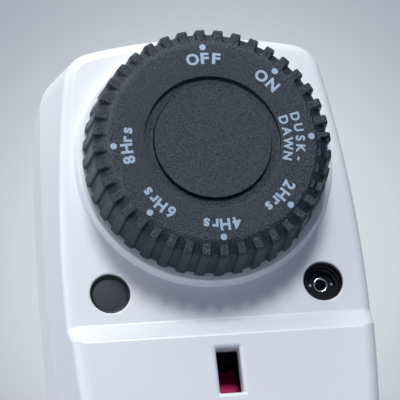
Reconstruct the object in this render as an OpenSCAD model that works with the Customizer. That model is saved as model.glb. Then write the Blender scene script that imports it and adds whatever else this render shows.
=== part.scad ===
// Plug-in dusk-to-dawn timer switch for a square-pin wall socket.
// Every piece is drawn lying on its back: x to the right, y up the wall and z
// out towards the user, with z = 0 on the face that meets the wall socket.
// stand() then turns it upright, with the front facing -Y.

/* [Casing] */
// Width of the casing at the seam between its two halves
casing_w = 62; // [61.5:0.5:66]
// Length of the casing at the seam
casing_l = 110; // [108:0.5:118]
// Height of the casing's middle above the middle of the plug
casing_lift = 26.2; // [25.5:0.1:27]
// Radius of the two bowed long sides at the seam
seam_side_r = 470; // [350:10:600]
// Radius of the two bowed long sides at the deck
deck_side_r = 265; // [240:5:300]
// Radius of the bowed top and bottom
end_r = 100; // [90:5:160]
// Radius of the four corners at the seam
corner_r = 8.2; // [8:0.2:9.6]
// Depth of the rear casing, from the wall socket to the seam
rear_d = 18; // [17:0.5:19]
// Depth of the front casing, from the seam to the deck
front_d = 15; // [14.5:0.5:17]
// Wall of both casings
wall = 2.2; // [1.8:0.1:2.5]
// Thickness of the back that carries the pins
back_t = 2.4; // [2:0.1:2.8]
// How far the front casing's sides lean in on their way to the deck
front_draft = 1.4; // [1:0.1:2]
// How far the rear casing's sides lean in on their way to the back
rear_draft = 0.2; // [0.1:0.1:0.8]
// Rounding of the deck's edge
deck_fillet = 1.4; // [1:0.1:1.7]
// Rounding of the back's edge
rear_fillet = 2.5; // [2:0.1:3.5]
// Chamfer on each half that makes the dark seam line
seam = 0.4; // [0.2:0.1:0.6]
// Depth of the front casing's locating lip in the rear casing
lip_d = 2; // [1.5:0.1:2.5]

/* [Socket panel] */
// Height of the socket panel above the deck
panel_h = 3.5; // [3:0.1:4]
// Height of the ramp's foot above the middle of the plug
ramp_lift = 21.9; // [21.6:0.1:22.4]
// Length of the ramp between the deck and the socket panel
ramp_l = 3.9; // [3.5:0.1:4.5]
// Rounding of the panel's edge
panel_fillet = 2.3; // [1.8:0.1:2.6]
// Depth of the tunnel behind each aperture
tunnel_d = 5; // [4.8:0.1:5.4]
// Clearance of an aperture around its pin, on each side
aperture_gap = 0.3; // [0.25:0.05:0.4]

/* [Plug and pins] */
// Distance of the line and neutral pins from the middle
pin_dx = 11.11; // [11:0.01:11.2]
// Distance of the earth pin above the line and neutral pins
pin_dy = 22.23; // [22.1:0.01:22.4]
// Width of the line and neutral pins
pole_w = 6.35; // [6.2:0.05:6.5]
// Thickness of every pin
pin_t = 4; // [3.9:0.05:4.05]
// Length of the line and neutral pins
pole_l = 17.7; // [17.2:0.1:18.2]
// Height of the earth pin's section
earth_h = 8; // [7.8:0.05:8.05]
// Length of the earth pin
earth_l = 22.7; // [22.2:0.1:23.2]
// Length of the insulating sleeves
sleeve_l = 9.3; // [8.5:0.1:9.5]
// Thickness of the sleeves' wall
sleeve_t = 0.5; // [0.4:0.05:0.6]

/* [Dial] */
// Deck left between the dial's plinth and the casing's top end
end_margin = 2.2; // [1.8:0.1:2.8]
// Diameter of the knob over its ribs, at the foot of the skirt
knob_d = 47.8; // [47:0.2:48.6]
// Height of the knob
knob_h = 9.9; // [9.5:0.1:11]
// Diameter of the knob's crowned face, out to its chamfer
face_d = 40.6; // [40:0.2:41.2]
// How far the face falls from its crest to the ring channel
crown_in = 0.3; // [0.1:0.05:0.5]
// How far the face falls from its crest to its outer edge
crown_out = 0.35; // [0.1:0.05:0.4]
// Number of grip ribs
rib_count = 40; // [30:1:44]
// Share of the pitch that a rib takes
rib_share = 0.5; // [0.4:0.05:0.6]
// How far a rib stands out of the skirt
rib_depth = 0.5; // [0.3:0.05:0.6]
// How far the ribs' flat tops lie below the face's crest
rib_drop = 0.5; // [0.45:0.05:0.6]
// Outer diameter of the ring channel in the face
channel_d = 26.2; // [25.6:0.2:26.8]
// Diameter of the centre cap inside the ring channel
cap_d = 22.4; // [22:0.1:23.4]
// Depth of the ring channel below its own rim
channel_t = 0.8; // [0.7:0.05:1]
// Diameter of the round plinth under the knob
plinth_d = 50.6; // [50:0.2:52]
// Height of the plinth above the deck
plinth_h = 2.2; // [1.8:0.1:3]
// Diameter of the dial's shaft
shaft_d = 6; // [5.6:0.1:6.4]

/* [Sensor window and jack] */
// Distance of the window and the jack from the casing's side
port_inset = 10.3; // [10.2:0.1:10.6]
// Height of the window and the jack above the middle of the plug
port_lift = 28.4; // [28:0.1:28.8]
// Diameter of both holes in the deck
port_d = 7.7; // [7.4:0.1:8]
// Bore of the jack's metal sleeve
jack_d = 2.4; // [2.3:0.05:2.6]
// Wall of the jack's metal sleeve
jack_t = 0.35; // [0.3:0.05:0.45]
// Depth of the jack's sleeve below the deck
jack_drop = 3; // [2.5:0.1:3.3]

/* [Shutter] */
// Travel of the shutter when the earth pin pushes it down
shutter_travel = 6.5; // [6.4:0.1:6.8]
// Thickness of the shutter's plate
shutter_t = 1.7; // [1.5:0.1:1.9]

/* [Board] */
// Distance of the control board from the casing's two sides
board_side = 7; // [6.5:0.1:7.5]
// Distance of the control board from the casing's top end
board_end = 15.2; // [14.8:0.1:15.8]
// Thickness of the control board
board_t = 1.6; // [1.4:0.1:1.8]
// Height of the board's lower edge above the middle of the plug
board_lift = 22.5; // [22.2:0.1:22.8]

/* [Hidden] */

// Clearances and overlaps
fit = 0.1;        // between pieces that are pushed together
run = 0.08;       // between a shaft and its bush
slip = 0.3;       // between the shutter and what it slides past
bite = 0.5;       // how far a boss or rib reaches into the wall it stands on

// Levels, all measured out from the wall socket's face
deck_z = rear_d + front_d;
deck_in = deck_z - wall;
panel_z = deck_z + panel_h;
panel_in = panel_z - wall;
tunnel_z = panel_z - tunnel_d;

// Heights up the wall, and places across it
earth_y = pin_dy / 2;
pole_y = -pin_dy / 2;
half_w = casing_w / 2;
half_l = casing_l / 2;
casing_high = casing_lift + half_l;
casing_low = casing_lift - half_l;
dial_lift = casing_high - end_margin - plinth_d / 2;
port_dx = half_w - port_inset;
board_w = casing_w - 2 * board_side;
board_l = casing_high - board_end - board_lift;

// Colours
white = [0.88, 0.89, 0.92];
charcoal = [0.23, 0.25, 0.27];
black = [0.05, 0.05, 0.06];
brass = [0.80, 0.66, 0.32];
steel = [0.70, 0.71, 0.73];

module stand() { rotate([90, 0, 0]) children(); }

// ---------------------------------------------------------------- outline
// The casing's outline is four bowed sides joined by four round corners. The
// long sides are nearly straight at the seam and more bowed at the deck, so an
// outline belongs to a level t, from 0 at the seam to 1 at the deck.

// The upper right point where a circle about a meets a circle about b
function meet(a, ra, b, rb) =
    let (d = norm(b - a), u = (b - a) / d, m = (d * d + ra * ra - rb * rb) / (2 * d))
    a + m * u + sqrt(ra * ra - m * m) * [u.y < 0 ? -u.y : u.y, u.x];

// The inner ends of n equal steps from a to b
function between(a, b, n) = [for (i = [1:n - 1]) a + (b - a) * i / n];

// Points along an arc
function arc(c, r, from, to, n) =
    [for (i = [0:n]) c + r * [cos(from + (to - from) * i / n), sin(from + (to - from) * i / n)]];

// The front's profile up the wall: socket panel, rounded crest, ramp, rounded
// foot and deck, as [height up the wall, height off the wall]
ramp_round = 0.9;
ramp_slope = atan2(panel_h, ramp_l);
ramp_reach = ramp_round * tan(ramp_slope / 2);
crest_lift = ramp_lift - ramp_l;
profile = concat(
    arc([crest_lift - ramp_reach, panel_z - ramp_round], ramp_round, 90, 90 - ramp_slope, 3),
    arc([ramp_lift + ramp_reach, deck_z + ramp_round], ramp_round, -90 - ramp_slope, -90, 3));
function front_z(y) = lookup(y, profile);

corner_steps = 6;
end_steps = 3;
ramp_steps = 4;

// Centres and radii at level t: the long side's centre and radius, the end's
// centre, and the corner's centre and radius
function shape(t) = let (
        draft = front_draft * t,
        side_r = 1 / ((1 - t) / seam_side_r + t / deck_side_r),
        side_c = half_w - draft - side_r,
        end_c = half_l - draft - end_r,
        r = corner_r - draft)
    [side_c, side_r, end_c, meet([side_c, 0], side_r - r, [0, end_c], end_r - r), r];

corner_c = shape(0)[3];
side_lifts = concat(between(casing_lift - corner_c.y, profile[0].x, 4),
    [for (i = [0:3]) profile[i].x],
    between(profile[3].x, profile[4].x, ramp_steps),
    [for (i = [4:7]) profile[i].x],
    [casing_lift], between(casing_lift, casing_lift + corner_c.y, 4));

// The right half of the outline at level t, inset, from the bottom middle to
// the top middle. The points on the long side lie at the same heights in
// every outline, so the creases of the ramp run level.
function right_half(t, inset) = let (
        g = shape(t), side_r = g[1] - inset, end_c = [0, g[2]], c = g[3],
        from = atan2(c.y, c.x - g[0]), to = atan2(c.y - g[2], c.x),
        end = arc(end_c, end_r - inset, to, 90, end_steps),
        upper = concat(arc(c, g[4] - inset, from, to, corner_steps), [for (i = [1:end_steps]) end[i]]))
    concat([for (i = [len(upper) - 1:-1:0]) [upper[i].x, casing_lift - upper[i].y]],
           [for (y = side_lifts) [g[0] + sqrt(side_r * side_r - pow(y - casing_lift, 2)), y]],
           [for (p = upper) [p.x, casing_lift + p.y]]);

// A ring at height z on the rear casing, and on the front one
function ring(z, inset) = [for (p = right_half(0, inset)) [p.x, p.y, z]];
function front_ring(z, inset) = [for (p = right_half((z - rear_d) / front_d, inset)) [p.x, p.y, z]];

// How far a rounded edge of radius r has dropped at a distance in from the side
function drop(in, r) = r - sqrt(r * r - pow(r - min(in, r), 2));

// A ring on the front's rounded edge. The deck's small rounding runs up the
// ramp and into the socket panel's larger one.
panel_lean = front_draft * (panel_h + deck_fillet - panel_fillet) / front_d;
function edge_ring(in) = let (deck = right_half(1, in), panel = right_half(1, in + panel_lean))
    [for (i = [0:len(deck) - 1]) let (
        z = front_z(deck[i].y),
        p = deck[i] + (panel[i] - deck[i]) * (z - deck_z) / panel_h)
    [p.x, p.y, min(z - drop(in, deck_fillet), panel_z - drop(in, panel_fillet))]];

// A ring that follows the front's profile, sunk below it
function sunk_ring(sunk, inset) = [for (p = right_half(1, inset)) [p.x, p.y, front_z(p.y) - sunk]];

// A solid through rings that are given from the bottom middle to the top
// middle of the right half
module loft(rings) {
    m = len(rings[0]);
    n = 2 * m - 2;
    last = n * (len(rings) - 1);
    polyhedron(
        points = [for (r = rings) each concat(r, [for (i = [m - 2:-1:1]) [-r[i].x, r[i].y, r[i].z]])],
        faces = concat(
            [[for (i = [0:n - 1]) i]],
            [for (k = [0:n:last - n]) for (i = [0:n - 1])
                [k + i, k + n + i, k + n + (i + 1) % n, k + (i + 1) % n]],
            [[last + 1, last, last + n - 1], [last + m - 1, last + m - 2, last + m]],
            [for (i = [1:m - 3]) [last + i + 1, last + i, last + n - i, last + n - i - 1]]));
}

function rear_lean(z) = rear_draft * (rear_d - z) / rear_d;

// ---------------------------------------------------------------- helpers

module slab(w, l, z0, z1, x = 0, y = 0) {
    translate([x - w / 2, y - l / 2, z0]) cube([w, l, z1 - z0]);
}

module rod(d, z0, z1, x = 0, y = 0, facets = 48) {
    translate([x, y, z0]) cylinder(d = d, h = z1 - z0, $fn = facets);
}

// A bar along x whose profile is drawn as [height up the wall, height off it]
module along_x(length) {
    translate([-length / 2, 0, 0]) rotate([90, 0, 90]) linear_extrude(height = length) children();
}

module both_sides() {
    children();
    mirror([1, 0, 0]) children();
}

// ---------------------------------------------------------------- screws

boss_d = 5.8;
shelf_z = 11;                            // where the two halves' bosses meet
shelf_t = 2;
screw_d = 2.9;
screw_head_d = 5.4;
screw_head_t = 2;
screw_l = 14;

module at_casing_screws() {
    both_sides() for (side = [-1, 1])
        translate([corner_c.x, casing_lift + side * corner_c.y, 0]) children();
}

board_z = deck_z - 10.4;                 // the board's front face
board_back = board_z - board_t;
post_d = 4.8;
post_dx = board_w / 2 - post_d / 2;
low_post = 24.1;                         // above the board's lower edge
post_lifts = [board_lift + low_post, board_lift + board_l - post_d / 2];
tapping_d = 1.9;
tapping_l = 6;

module at_board_posts() {
    both_sides() for (lift = post_lifts) translate([post_dx, lift, 0]) children();
}

// ---------------------------------------------------------------- sizes that several pieces share

aperture_t = pin_t + 2 * aperture_gap;
pole_aperture = [pole_w + 2 * aperture_gap, aperture_t];
earth_aperture = [aperture_t - 0.1, earth_h + 2 * aperture_gap + 0.1];
tunnel_t = 1.2;

bush_d = shaft_d + 5;
bush_h = 1.5;
bush_top = deck_z + bush_h;

plinth_t = 2.4;
plinth_round = 0.5;
plinth_lean = 0.4;

port_flange_d = port_d + 1.9;
port_flange_t = 1;

shutter_room = 5.5;                      // for the shutter's ramp, between its plate and the carrier
carrier_lift = 1;
carrier_below = 4.9;
carrier_above = 2.7;
carrier_bottom = shelf_z + carrier_lift;
carrier_top = tunnel_z - shutter_t - slip - shutter_room;
carrier_w = 34;
carrier_low = pole_y - carrier_below;
carrier_high = earth_y + earth_h / 2 + carrier_above;
strip_t = 0.8;
strip_z = carrier_bottom - strip_t;

module at_apertures() {
    translate([0, earth_y, 0]) children(0);
    both_sides() translate([pin_dx, pole_y, 0]) children(1);
}

// ---------------------------------------------------------------- casings

fillet_steps = 4;

module casing_front_skin() {
    loft(concat([ring(rear_d, seam), ring(rear_d + seam, 0)],
                [for (i = [0:fillet_steps]) edge_ring(panel_fillet * (1 - cos(90 * i / fillet_steps)))]));
    translate([0, dial_lift, 0]) plinth();
}

module plinth() {
    r = plinth_d / 2;
    top = deck_z + plinth_h;
    rotate_extrude($fn = 96) polygon(concat(
        [[r - plinth_t, deck_z - bite], [r, deck_z - bite], [r, deck_z]],
        arc([r - plinth_lean - plinth_round, top - plinth_round], plinth_round, 0, 90, 4),
        [[r - plinth_t, top]]));
}

rim_t = wall + 1.2;                       // the front wall is thicker where the lip grows from it
rim_h = 2.5;

module front_cavity() {
    loft([ring(rear_d - lip_d - bite, rim_t), front_ring(rear_d + rim_h, rim_t),
          front_ring(rear_d + rim_h + 1.2, wall), sunk_ring(wall, wall)]);
}

module front_lip() {
    difference() {
        loft([ring(rear_d - lip_d, wall + fit + 0.2), ring(rear_d - lip_d + 0.4, wall + fit),
              ring(rear_d + bite, wall + fit)]);
        loft([ring(rear_d - lip_d - bite, rim_t), front_ring(rear_d + 2 * bite, rim_t)]);
    }
}

module tunnel(size) {
    slab(size.x + 2 * tunnel_t, size.y + 2 * tunnel_t, tunnel_z, panel_in + bite);
}

// Ribs that press the contact carrier down
module hold_down() {
    both_sides() slab(6, 1.6, carrier_top, panel_in + bite, x = pin_dx, y = carrier_high - 1.6);
}

module front_casing() {
    color(white) stand() difference() {
        union() {
            difference() {
                casing_front_skin();
                front_cavity();
            }
            front_lip();
            at_apertures() {
                tunnel(earth_aperture);
                tunnel(pole_aperture);
            }
            for (side = [-1, 1]) let (y = casing_lift + side * corner_c.y)
                both_sides() rod(boss_d, shelf_z, front_z(y) - wall + bite, corner_c.x, y);
            at_board_posts() rod(post_d, board_z, deck_in + bite);
            rod(bush_d, deck_in, bush_top, y = dial_lift, facets = 64);
            hold_down();
            slab(spring_d + 2, spring_shelf, spring_z - spring_d / 2, panel_in + bite,
                 y = spring_foot - spring_shelf / 2);
        }
        at_apertures() {
            slab(earth_aperture.x, earth_aperture.y, tunnel_z - bite, panel_z + bite);
            slab(pole_aperture.x, pole_aperture.y, tunnel_z - bite, panel_z + bite);
        }
        at_casing_screws() rod(screw_d + fit, shelf_z - bite, shelf_z + screw_l);
        at_board_posts() rod(tapping_d + fit, board_z - bite, board_z + tapping_l);
        rod(shaft_d + 2 * run, deck_in - bite, bush_top + bite, y = dial_lift, facets = 64);
        both_sides() rod(port_d, deck_in - bite, deck_z + bite, port_dx, port_lift, 64);
    }
}

module rear_casing() {
    color(white) stand() difference() {
        union() {
            difference() {
                loft(concat([for (i = [fillet_steps:-1:0]) let (in = rear_fillet * (1 - cos(90 * i / fillet_steps)))
                                 ring(drop(in, rear_fillet), rear_lean(rear_fillet) + in)],
                            [ring(rear_d - seam, 0), ring(rear_d, seam)]));
                loft([ring(back_t, wall + rear_lean(0) + 1.2), ring(back_t + 1.2, wall + rear_lean(back_t)),
                      ring(rear_d - lip_d - 1, wall), ring(rear_d + bite, wall)]);
            }
            at_casing_screws() rod(screw_head_d + 2.6, back_t - bite, shelf_z);
        }
        at_casing_screws() {
            rod(screw_head_d + 0.6, -bite, shelf_z - shelf_t);
            rod(screw_d + 0.5, shelf_z - shelf_t - bite, shelf_z + bite);
        }
        at_apertures() {
            slab(pin_t + fit, earth_h + fit, -bite, back_t + bite);
            slab(pole_w + fit, pin_t + fit, -bite, back_t + bite);
        }
    }
}

module casing_screws() {
    color(steel) stand() at_casing_screws() difference() {
        union() {
            rod(screw_head_d, shelf_z - shelf_t - screw_head_t, shelf_z - shelf_t);
            rod(screw_d, shelf_z - shelf_t, shelf_z + screw_l - 1);
        }
        for (turn = [0, 90]) rotate([0, 0, turn])
            slab(3.2, 0.8, shelf_z - shelf_t - screw_head_t - bite, shelf_z - shelf_t - 1);
    }
}

// ---------------------------------------------------------------- pins

flange_t = 2;
flange_rim = 1.1;
retainer_t = 2;
retainer_rim = 2.4;
retainer_side = 1.7;
tail_step = 1;                           // a pin's tail is slimmer than the pin
retainer_z = back_t + flange_t;
retainer_top = retainer_z + retainer_t;
line_strip_z = retainer_top + 0.8;

// A blade along z whose far end is chamfered on all four sides
module blade(w, t, z0, z1, nose = 1.4, taper = 0.8) {
    intersection() {
        rotate([90, 0, 0]) linear_extrude(height = t, center = true)
            polygon([[-w / 2 + taper, z0], [w / 2 - taper, z0], [w / 2, z0 + nose],
                     [w / 2, z1], [-w / 2, z1], [-w / 2, z0 + nose]]);
        rotate([90, 0, 90]) linear_extrude(height = w, center = true)
            polygon([[-t / 2 + taper, z0], [t / 2 - taper, z0], [t / 2, z0 + nose],
                     [t / 2, z1], [-t / 2, z1], [-t / 2, z0 + nose]]);
    }
}

// A line or neutral pin, slimmer under its sleeve, with a flange inside the back
module pole_pin(tail_z) {
    blade(pole_w, pin_t, -pole_l, -sleeve_l);
    slab(pole_w - 2 * sleeve_t, pin_t - 2 * sleeve_t, -sleeve_l - bite, back_t);
    slab(pole_w + 2 * flange_rim, pin_t + 2 * flange_rim, back_t, retainer_z);
    slab(pole_w - tail_step, pin_t - tail_step, retainer_z, tail_z);
}

module earth_pin() {
    color(brass) stand() translate([0, earth_y, 0]) {
        blade(pin_t, earth_h, -earth_l, back_t);
        slab(pin_t + 2 * flange_rim, earth_h + 2 * flange_rim, back_t, retainer_z);
        slab(pin_t - tail_step, earth_h - 2 * tail_step, retainer_z, strip_z);
    }
}

module line_pin() {
    color(brass) stand() translate([pin_dx, pole_y, 0]) pole_pin(line_strip_z);
}

module neutral_pin() {
    color(brass) stand() translate([-pin_dx, pole_y, 0]) pole_pin(strip_z);
}

module pin_sleeve() {
    difference() {
        slab(pole_w, pin_t, -sleeve_l, back_t);
        slab(pole_w - 2 * sleeve_t, pin_t - 2 * sleeve_t, -sleeve_l - bite, back_t + bite);
    }
}

module line_pin_sleeve() {
    color(black) stand() translate([pin_dx, pole_y, 0]) pin_sleeve();
}

module neutral_pin_sleeve() {
    color(black) stand() translate([-pin_dx, pole_y, 0]) pin_sleeve();
}

// Plate that locks the three pins' flanges against the back
module pin_retainer() {
    low = pole_y - pin_t / 2 - retainer_rim;
    high = earth_y + earth_h / 2 + retainer_rim;
    color(charcoal) stand() difference() {
        slab(2 * (pin_dx + retainer_side) + pole_w, high - low, retainer_z, retainer_top, y = (low + high) / 2);
        at_apertures() {
            slab(pin_t - tail_step + 2 * fit, earth_h - 2 * tail_step + 2 * fit, retainer_z - bite, retainer_top + bite);
            slab(pole_w - tail_step + 2 * fit, pin_t - tail_step + 2 * fit, retainer_z - bite, retainer_top + bite);
        }
    }
}

// ---------------------------------------------------------------- socket contacts

leaf_t = 0.7;
pinch = 0.15;                             // how far the leaves reach into a pin's path
mouth = 0.7;
ledge = 0.2;
pocket_gap = 0.5;

// A clip of two leaves that stand up from a base strip and flare at the mouth
module clip(across, along, top) {
    gap = across / 2 - pinch;
    slab(2 * (gap + leaf_t + mouth + ledge), along, strip_z, strip_z + strip_t);
    both_sides() rotate([90, 0, 0]) linear_extrude(height = along, center = true)
        polygon([[gap + mouth, strip_z + strip_t / 2], [gap, top - 2.5], [gap + mouth, top],
                 [gap + mouth + leaf_t, top], [gap + leaf_t, top - 2.5],
                 [gap + mouth + leaf_t, strip_z + strip_t / 2]]);
}

function clip_reach(across) = across + 2 * (mouth + leaf_t - pinch) + 2 * pocket_gap;
clip_top = carrier_top - 0.6;
clip_share = 0.86;                        // the clip's length as a share of the pin's width

module earth_contact() {
    color(brass) stand() translate([0, earth_y, 0]) clip(pin_t, earth_h * clip_share, clip_top);
}

module pole_contact() {
    rotate([0, 0, 90]) clip(pin_t, pole_w * clip_share, clip_top);
}

module line_contact() {
    color(brass) stand() translate([pin_dx, pole_y, 0]) pole_contact();
}

module neutral_contact() {
    color(brass) stand() translate([-pin_dx, pole_y, 0]) pole_contact();
}

foot_w = 3;
high_foot_x = 7.5;
low_foot_x = 4.6;
guide_gap = 0.2;
plate_side = 0.8;
plate_half = pin_dx + pole_aperture.x / 2 + plate_side;
guide_t = 1.4;
guide_below = 3.2;
guide_above = 9;
guide_low = pole_y - guide_below;
guide_high = pole_y + guide_above;

module contact_carrier() {
    mid = (carrier_low + carrier_high) / 2;
    long = carrier_high - carrier_low;
    color(charcoal) stand() difference() {
        union() {
            slab(carrier_w, long, carrier_bottom, carrier_top, y = mid);
            // feet on the pin retainer
            both_sides() {
                slab(foot_w, foot_w, retainer_top, carrier_bottom, high_foot_x, carrier_high - foot_w / 2);
                slab(foot_w, foot_w, retainer_top, carrier_bottom, low_foot_x, carrier_low + foot_w / 2);
            }
            // rails that the shutter's plate slides on
            both_sides() {
                slab(2 * guide_t, guide_high - guide_low, carrier_top, plate_back - guide_gap,
                     plate_half, (guide_low + guide_high) / 2);
                slab(guide_t, guide_high - guide_low, carrier_top, plate_front - guide_gap,
                     plate_half + guide_gap + guide_t / 2, (guide_low + guide_high) / 2);
            }
        }
        at_apertures() {
            slab(clip_reach(pin_t), earth_h + 2 * pocket_gap, carrier_bottom - bite, carrier_top + bite);
            slab(pole_w + 2 * pocket_gap, clip_reach(pin_t), carrier_bottom - bite, carrier_top + bite);
        }
    }
}

// ---------------------------------------------------------------- links to the board

strip_w = 2.6;
link_gap = 1;
clip_half = pole_w * clip_share / 2;
inner_strip_x = pin_dx + clip_half + strip_w / 2;
outer_strip_x = inner_strip_x + strip_w + link_gap;
foot_w_more = 1.2;                       // the foot is wider than the strip
line_tab = 1.2;
switched_tab = 3.6;
line_tab_y = board_lift + line_tab;
switched_tab_y = board_lift + switched_tab;

// A strip from a pole up to the board's edge, at height z, with an upright tab
module link(strip_x, foot_x, foot_w, z, tab_y) {
    slab(strip_x + strip_w / 2 - foot_x + foot_w, strip_w + foot_w_more, z, z + strip_t,
         (strip_x + strip_w / 2 + foot_x - foot_w) / 2, pole_y);
    slab(strip_w, tab_y + strip_t - pole_y, z, z + strip_t, strip_x, (tab_y + strip_t + pole_y) / 2);
    slab(strip_w, strip_t, z, board_back, strip_x, tab_y + strip_t / 2);
}

module line_link() {
    color(brass) stand() link(outer_strip_x, pin_dx, (pole_w - tail_step) / 2, line_strip_z, line_tab_y);
}

module switched_link() {
    color(brass) stand() link(inner_strip_x, pin_dx + clip_half, 0, strip_z, switched_tab_y);
}

module neutral_link() {
    color(brass) stand() mirror([1, 0, 0])
        link(inner_strip_x, pin_dx + clip_half, 0, strip_z, switched_tab_y);
}

// ---------------------------------------------------------------- shutter

plate_front = tunnel_z - slip;
plate_back = plate_front - shutter_t;
plate_cover = 1.2;
plate_high = pole_y + pole_aperture.y / 2 + plate_cover;
plate_low = pole_y - pole_aperture.y / 2 - plate_cover;
ramp_short = 0.25;                       // so that the pin clears the ramp before the travel's end
ramp_cover = 0.3;
ramp_depth = 4.9;
ramp_high = earth_y - earth_h / 2 + shutter_travel - ramp_short;
ramp_low = earth_y - earth_aperture.y / 2 - ramp_cover;
ramp_back = plate_front - ramp_depth;
ramp_t = 1;
ramp_foot = 2;
wedge_w = 5.4;
neck_w = 8;

spring_d = 4.4;
wire_d = 0.45;
spring_turns = 7;
spring_z = plate_front - spring_d / 2;
seat_t = 2.2;
spring_top = plate_high - seat_t;
spring_end = 2.7;                        // from the casing's wall to the spring's lower end
spring_foot = casing_low + wall + front_draft + spring_end;
spring_shelf = 3.5;

module shutter() {
    color([0.32, 0.02, 0.10]) stand() difference() {
        union() {
            slab(2 * plate_half, plate_high - plate_low, plate_back, plate_front,
                 y = (plate_high + plate_low) / 2);
            slab(neck_w, ramp_low - plate_high + 2 * bite, plate_back, plate_front,
                 y = (ramp_low + plate_high) / 2);
            along_x(wedge_w) polygon([[ramp_low - ramp_foot, plate_back], [ramp_low - ramp_foot, plate_front],
                                      [ramp_low, plate_front], [ramp_high, ramp_back],
                                      [ramp_high, ramp_back - ramp_t],
                                      [ramp_low - ramp_foot, ramp_back - ramp_t]]);
            // seat for the return spring
            slab(neck_w, seat_t, spring_z - spring_d / 2, plate_front, y = spring_top + seat_t / 2);
        }
        slab(spring_d + 1.2, spring_top - plate_low + bite, plate_back - bite, plate_front + bite,
             y = (spring_top + plate_low - bite) / 2);
    }
}

// The spring's wire, swept along its helix
module shutter_spring() {
    sides = 6;
    steps = 16 * spring_turns;
    r = (spring_d - wire_d) / 2;
    low = spring_foot + wire_d / 2;
    rise = spring_top - wire_d - spring_foot;
    lean = atan2(rise / spring_turns, 2 * PI * r);
    points = [for (i = [0:steps]) let (a = 360 * spring_turns * i / steps)
              for (k = [0:sides - 1]) let (b = 360 * k / sides, out = wire_d / 2 * cos(b),
                                           up = wire_d / 2 * sin(b))
              [(r + out) * cos(a) - up * sin(lean) * sin(a),
               low + rise * i / steps + up * cos(lean),
               spring_z + (r + out) * sin(a) + up * sin(lean) * cos(a)]];
    color(steel) stand() polyhedron(points = points, faces = concat(
        [[for (k = [sides - 1:-1:0]) k]],
        [for (i = [0:steps - 1]) for (k = [0:sides - 1])
            [i * sides + k, i * sides + (k + 1) % sides,
             (i + 1) * sides + (k + 1) % sides, (i + 1) * sides + k]],
        [[for (k = [0:sides - 1]) steps * sides + k]]));
}

// ---------------------------------------------------------------- dial

knob_z = deck_z + plinth_h + 0.2;
knob_top = knob_z + knob_h;
knob_r = knob_d / 2;
face_r = face_d / 2;
flare = 0.75;                             // how far the skirt widens on its way down
skirt_r = knob_r - rib_depth;
shoulder_r = skirt_r - flare;
shoulder_t = 2.2;
chamfer_w = 1.7;
chamfer_t = 1.3;
knob_wall = 2;
knob_floor = 1.8;
hub_d = shaft_d + 6;
crest_r = 14.8;                           // where the crowned face is highest
crown_steps = 4;
cap_top = knob_top - crown_in;            // the cap is level with the channel's rim
channel_z = cap_top - channel_t;
shaft_top = channel_z - 2.5;
web_t = 0.8;
flat_depth = 0.6;
cap_spigot_d = 6.7;
dial_screw_head = 5.6;
rib_inner_r = face_r + (rib_drop - crown_out) * chamfer_w / (chamfer_t - crown_out);
rib_round = 0.4;

// Half of the face's crown: a shallow arc from its crest to another radius, drop lower
function crown(to_r, drop) =
    [for (i = [1:crown_steps]) let (t = i / crown_steps)
        [crest_r + (to_r - crest_r) * t, knob_top - drop * t * t]];

module knob_turning() {
    outer = crown(face_r, crown_out);
    inner = crown(channel_d / 2, crown_in);
    rotate_extrude($fn = 160) polygon(concat(
        [[0, knob_z], [skirt_r, knob_z], [shoulder_r, knob_top - shoulder_t],
         [face_r + chamfer_w, knob_top - chamfer_t]],
        [for (i = [crown_steps - 1:-1:0]) outer[i]], [[crest_r, knob_top]], inner,
        [[channel_d / 2, channel_z], [0, channel_z]]));
}

// A grip rib: a slice of a slightly larger knob, with its own flat top
module rib() {
    top = knob_top - rib_drop;
    width = 360 / rib_count * rib_share;
    edge_r = shoulder_r + rib_depth;
    rotate([0, 0, 90 - width / 2]) rotate_extrude(angle = width, $fn = 160) polygon([
        [shoulder_r - 2, knob_z], [knob_r, knob_z], [edge_r, top - rib_round],
        [edge_r - rib_round, top], [rib_inner_r, top], [shoulder_r - 2, top - chamfer_t]]);
}

module d_section(d, z0, z1, facets = 64) {
    difference() {
        rod(d, z0, z1, facets = facets);
        slab(d, d, z0 - bite, z1 + bite, y = d - flat_depth * d / shaft_d);
    }
}

module at_dial() { translate([0, dial_lift, 0]) children(); }

module dial_knob() {
    color(charcoal) stand() at_dial() difference() {
        union() {
            difference() {
                union() {
                    knob_turning();
                    for (i = [0:rib_count - 1]) rotate([0, 0, 360 / rib_count * i]) rib();
                }
                rod(2 * (shoulder_r - knob_wall), knob_z - bite, channel_z - knob_floor,
                    facets = 96);
            }
            rod(hub_d, bush_top + slip, channel_z - bite, facets = 64);
        }
        rod(cap_spigot_d + fit, shaft_top + web_t, knob_top, facets = 64);
        rod(screw_d + 0.3, shaft_top - bite, knob_top);
        d_section(shaft_d + fit, bush_top - bite, shaft_top);
    }
}

module dial_cap() {
    color(charcoal) stand() at_dial() difference() {
        union() {
            rod(cap_d, channel_z, cap_top, facets = 128);
            rod(cap_spigot_d, shaft_top + web_t + 0.2, channel_z, facets = 64);
        }
        rod(dial_screw_head + 0.4, shaft_top + web_t, channel_z, facets = 64);
    }
}

dial_screw_l = 8;

module dial_screw() {
    color(steel) stand() at_dial() difference() {
        union() {
            rod(dial_screw_head, shaft_top + web_t, shaft_top + web_t + 1.5);
            rod(screw_d, shaft_top + web_t - dial_screw_l, shaft_top + web_t);
        }
        for (turn = [0, 90]) rotate([0, 0, turn])
            slab(3.2, 0.8, shaft_top + web_t + 0.7, shaft_top + web_t + 2);
    }
}

// ---------------------------------------------------------------- rotary switch

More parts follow.
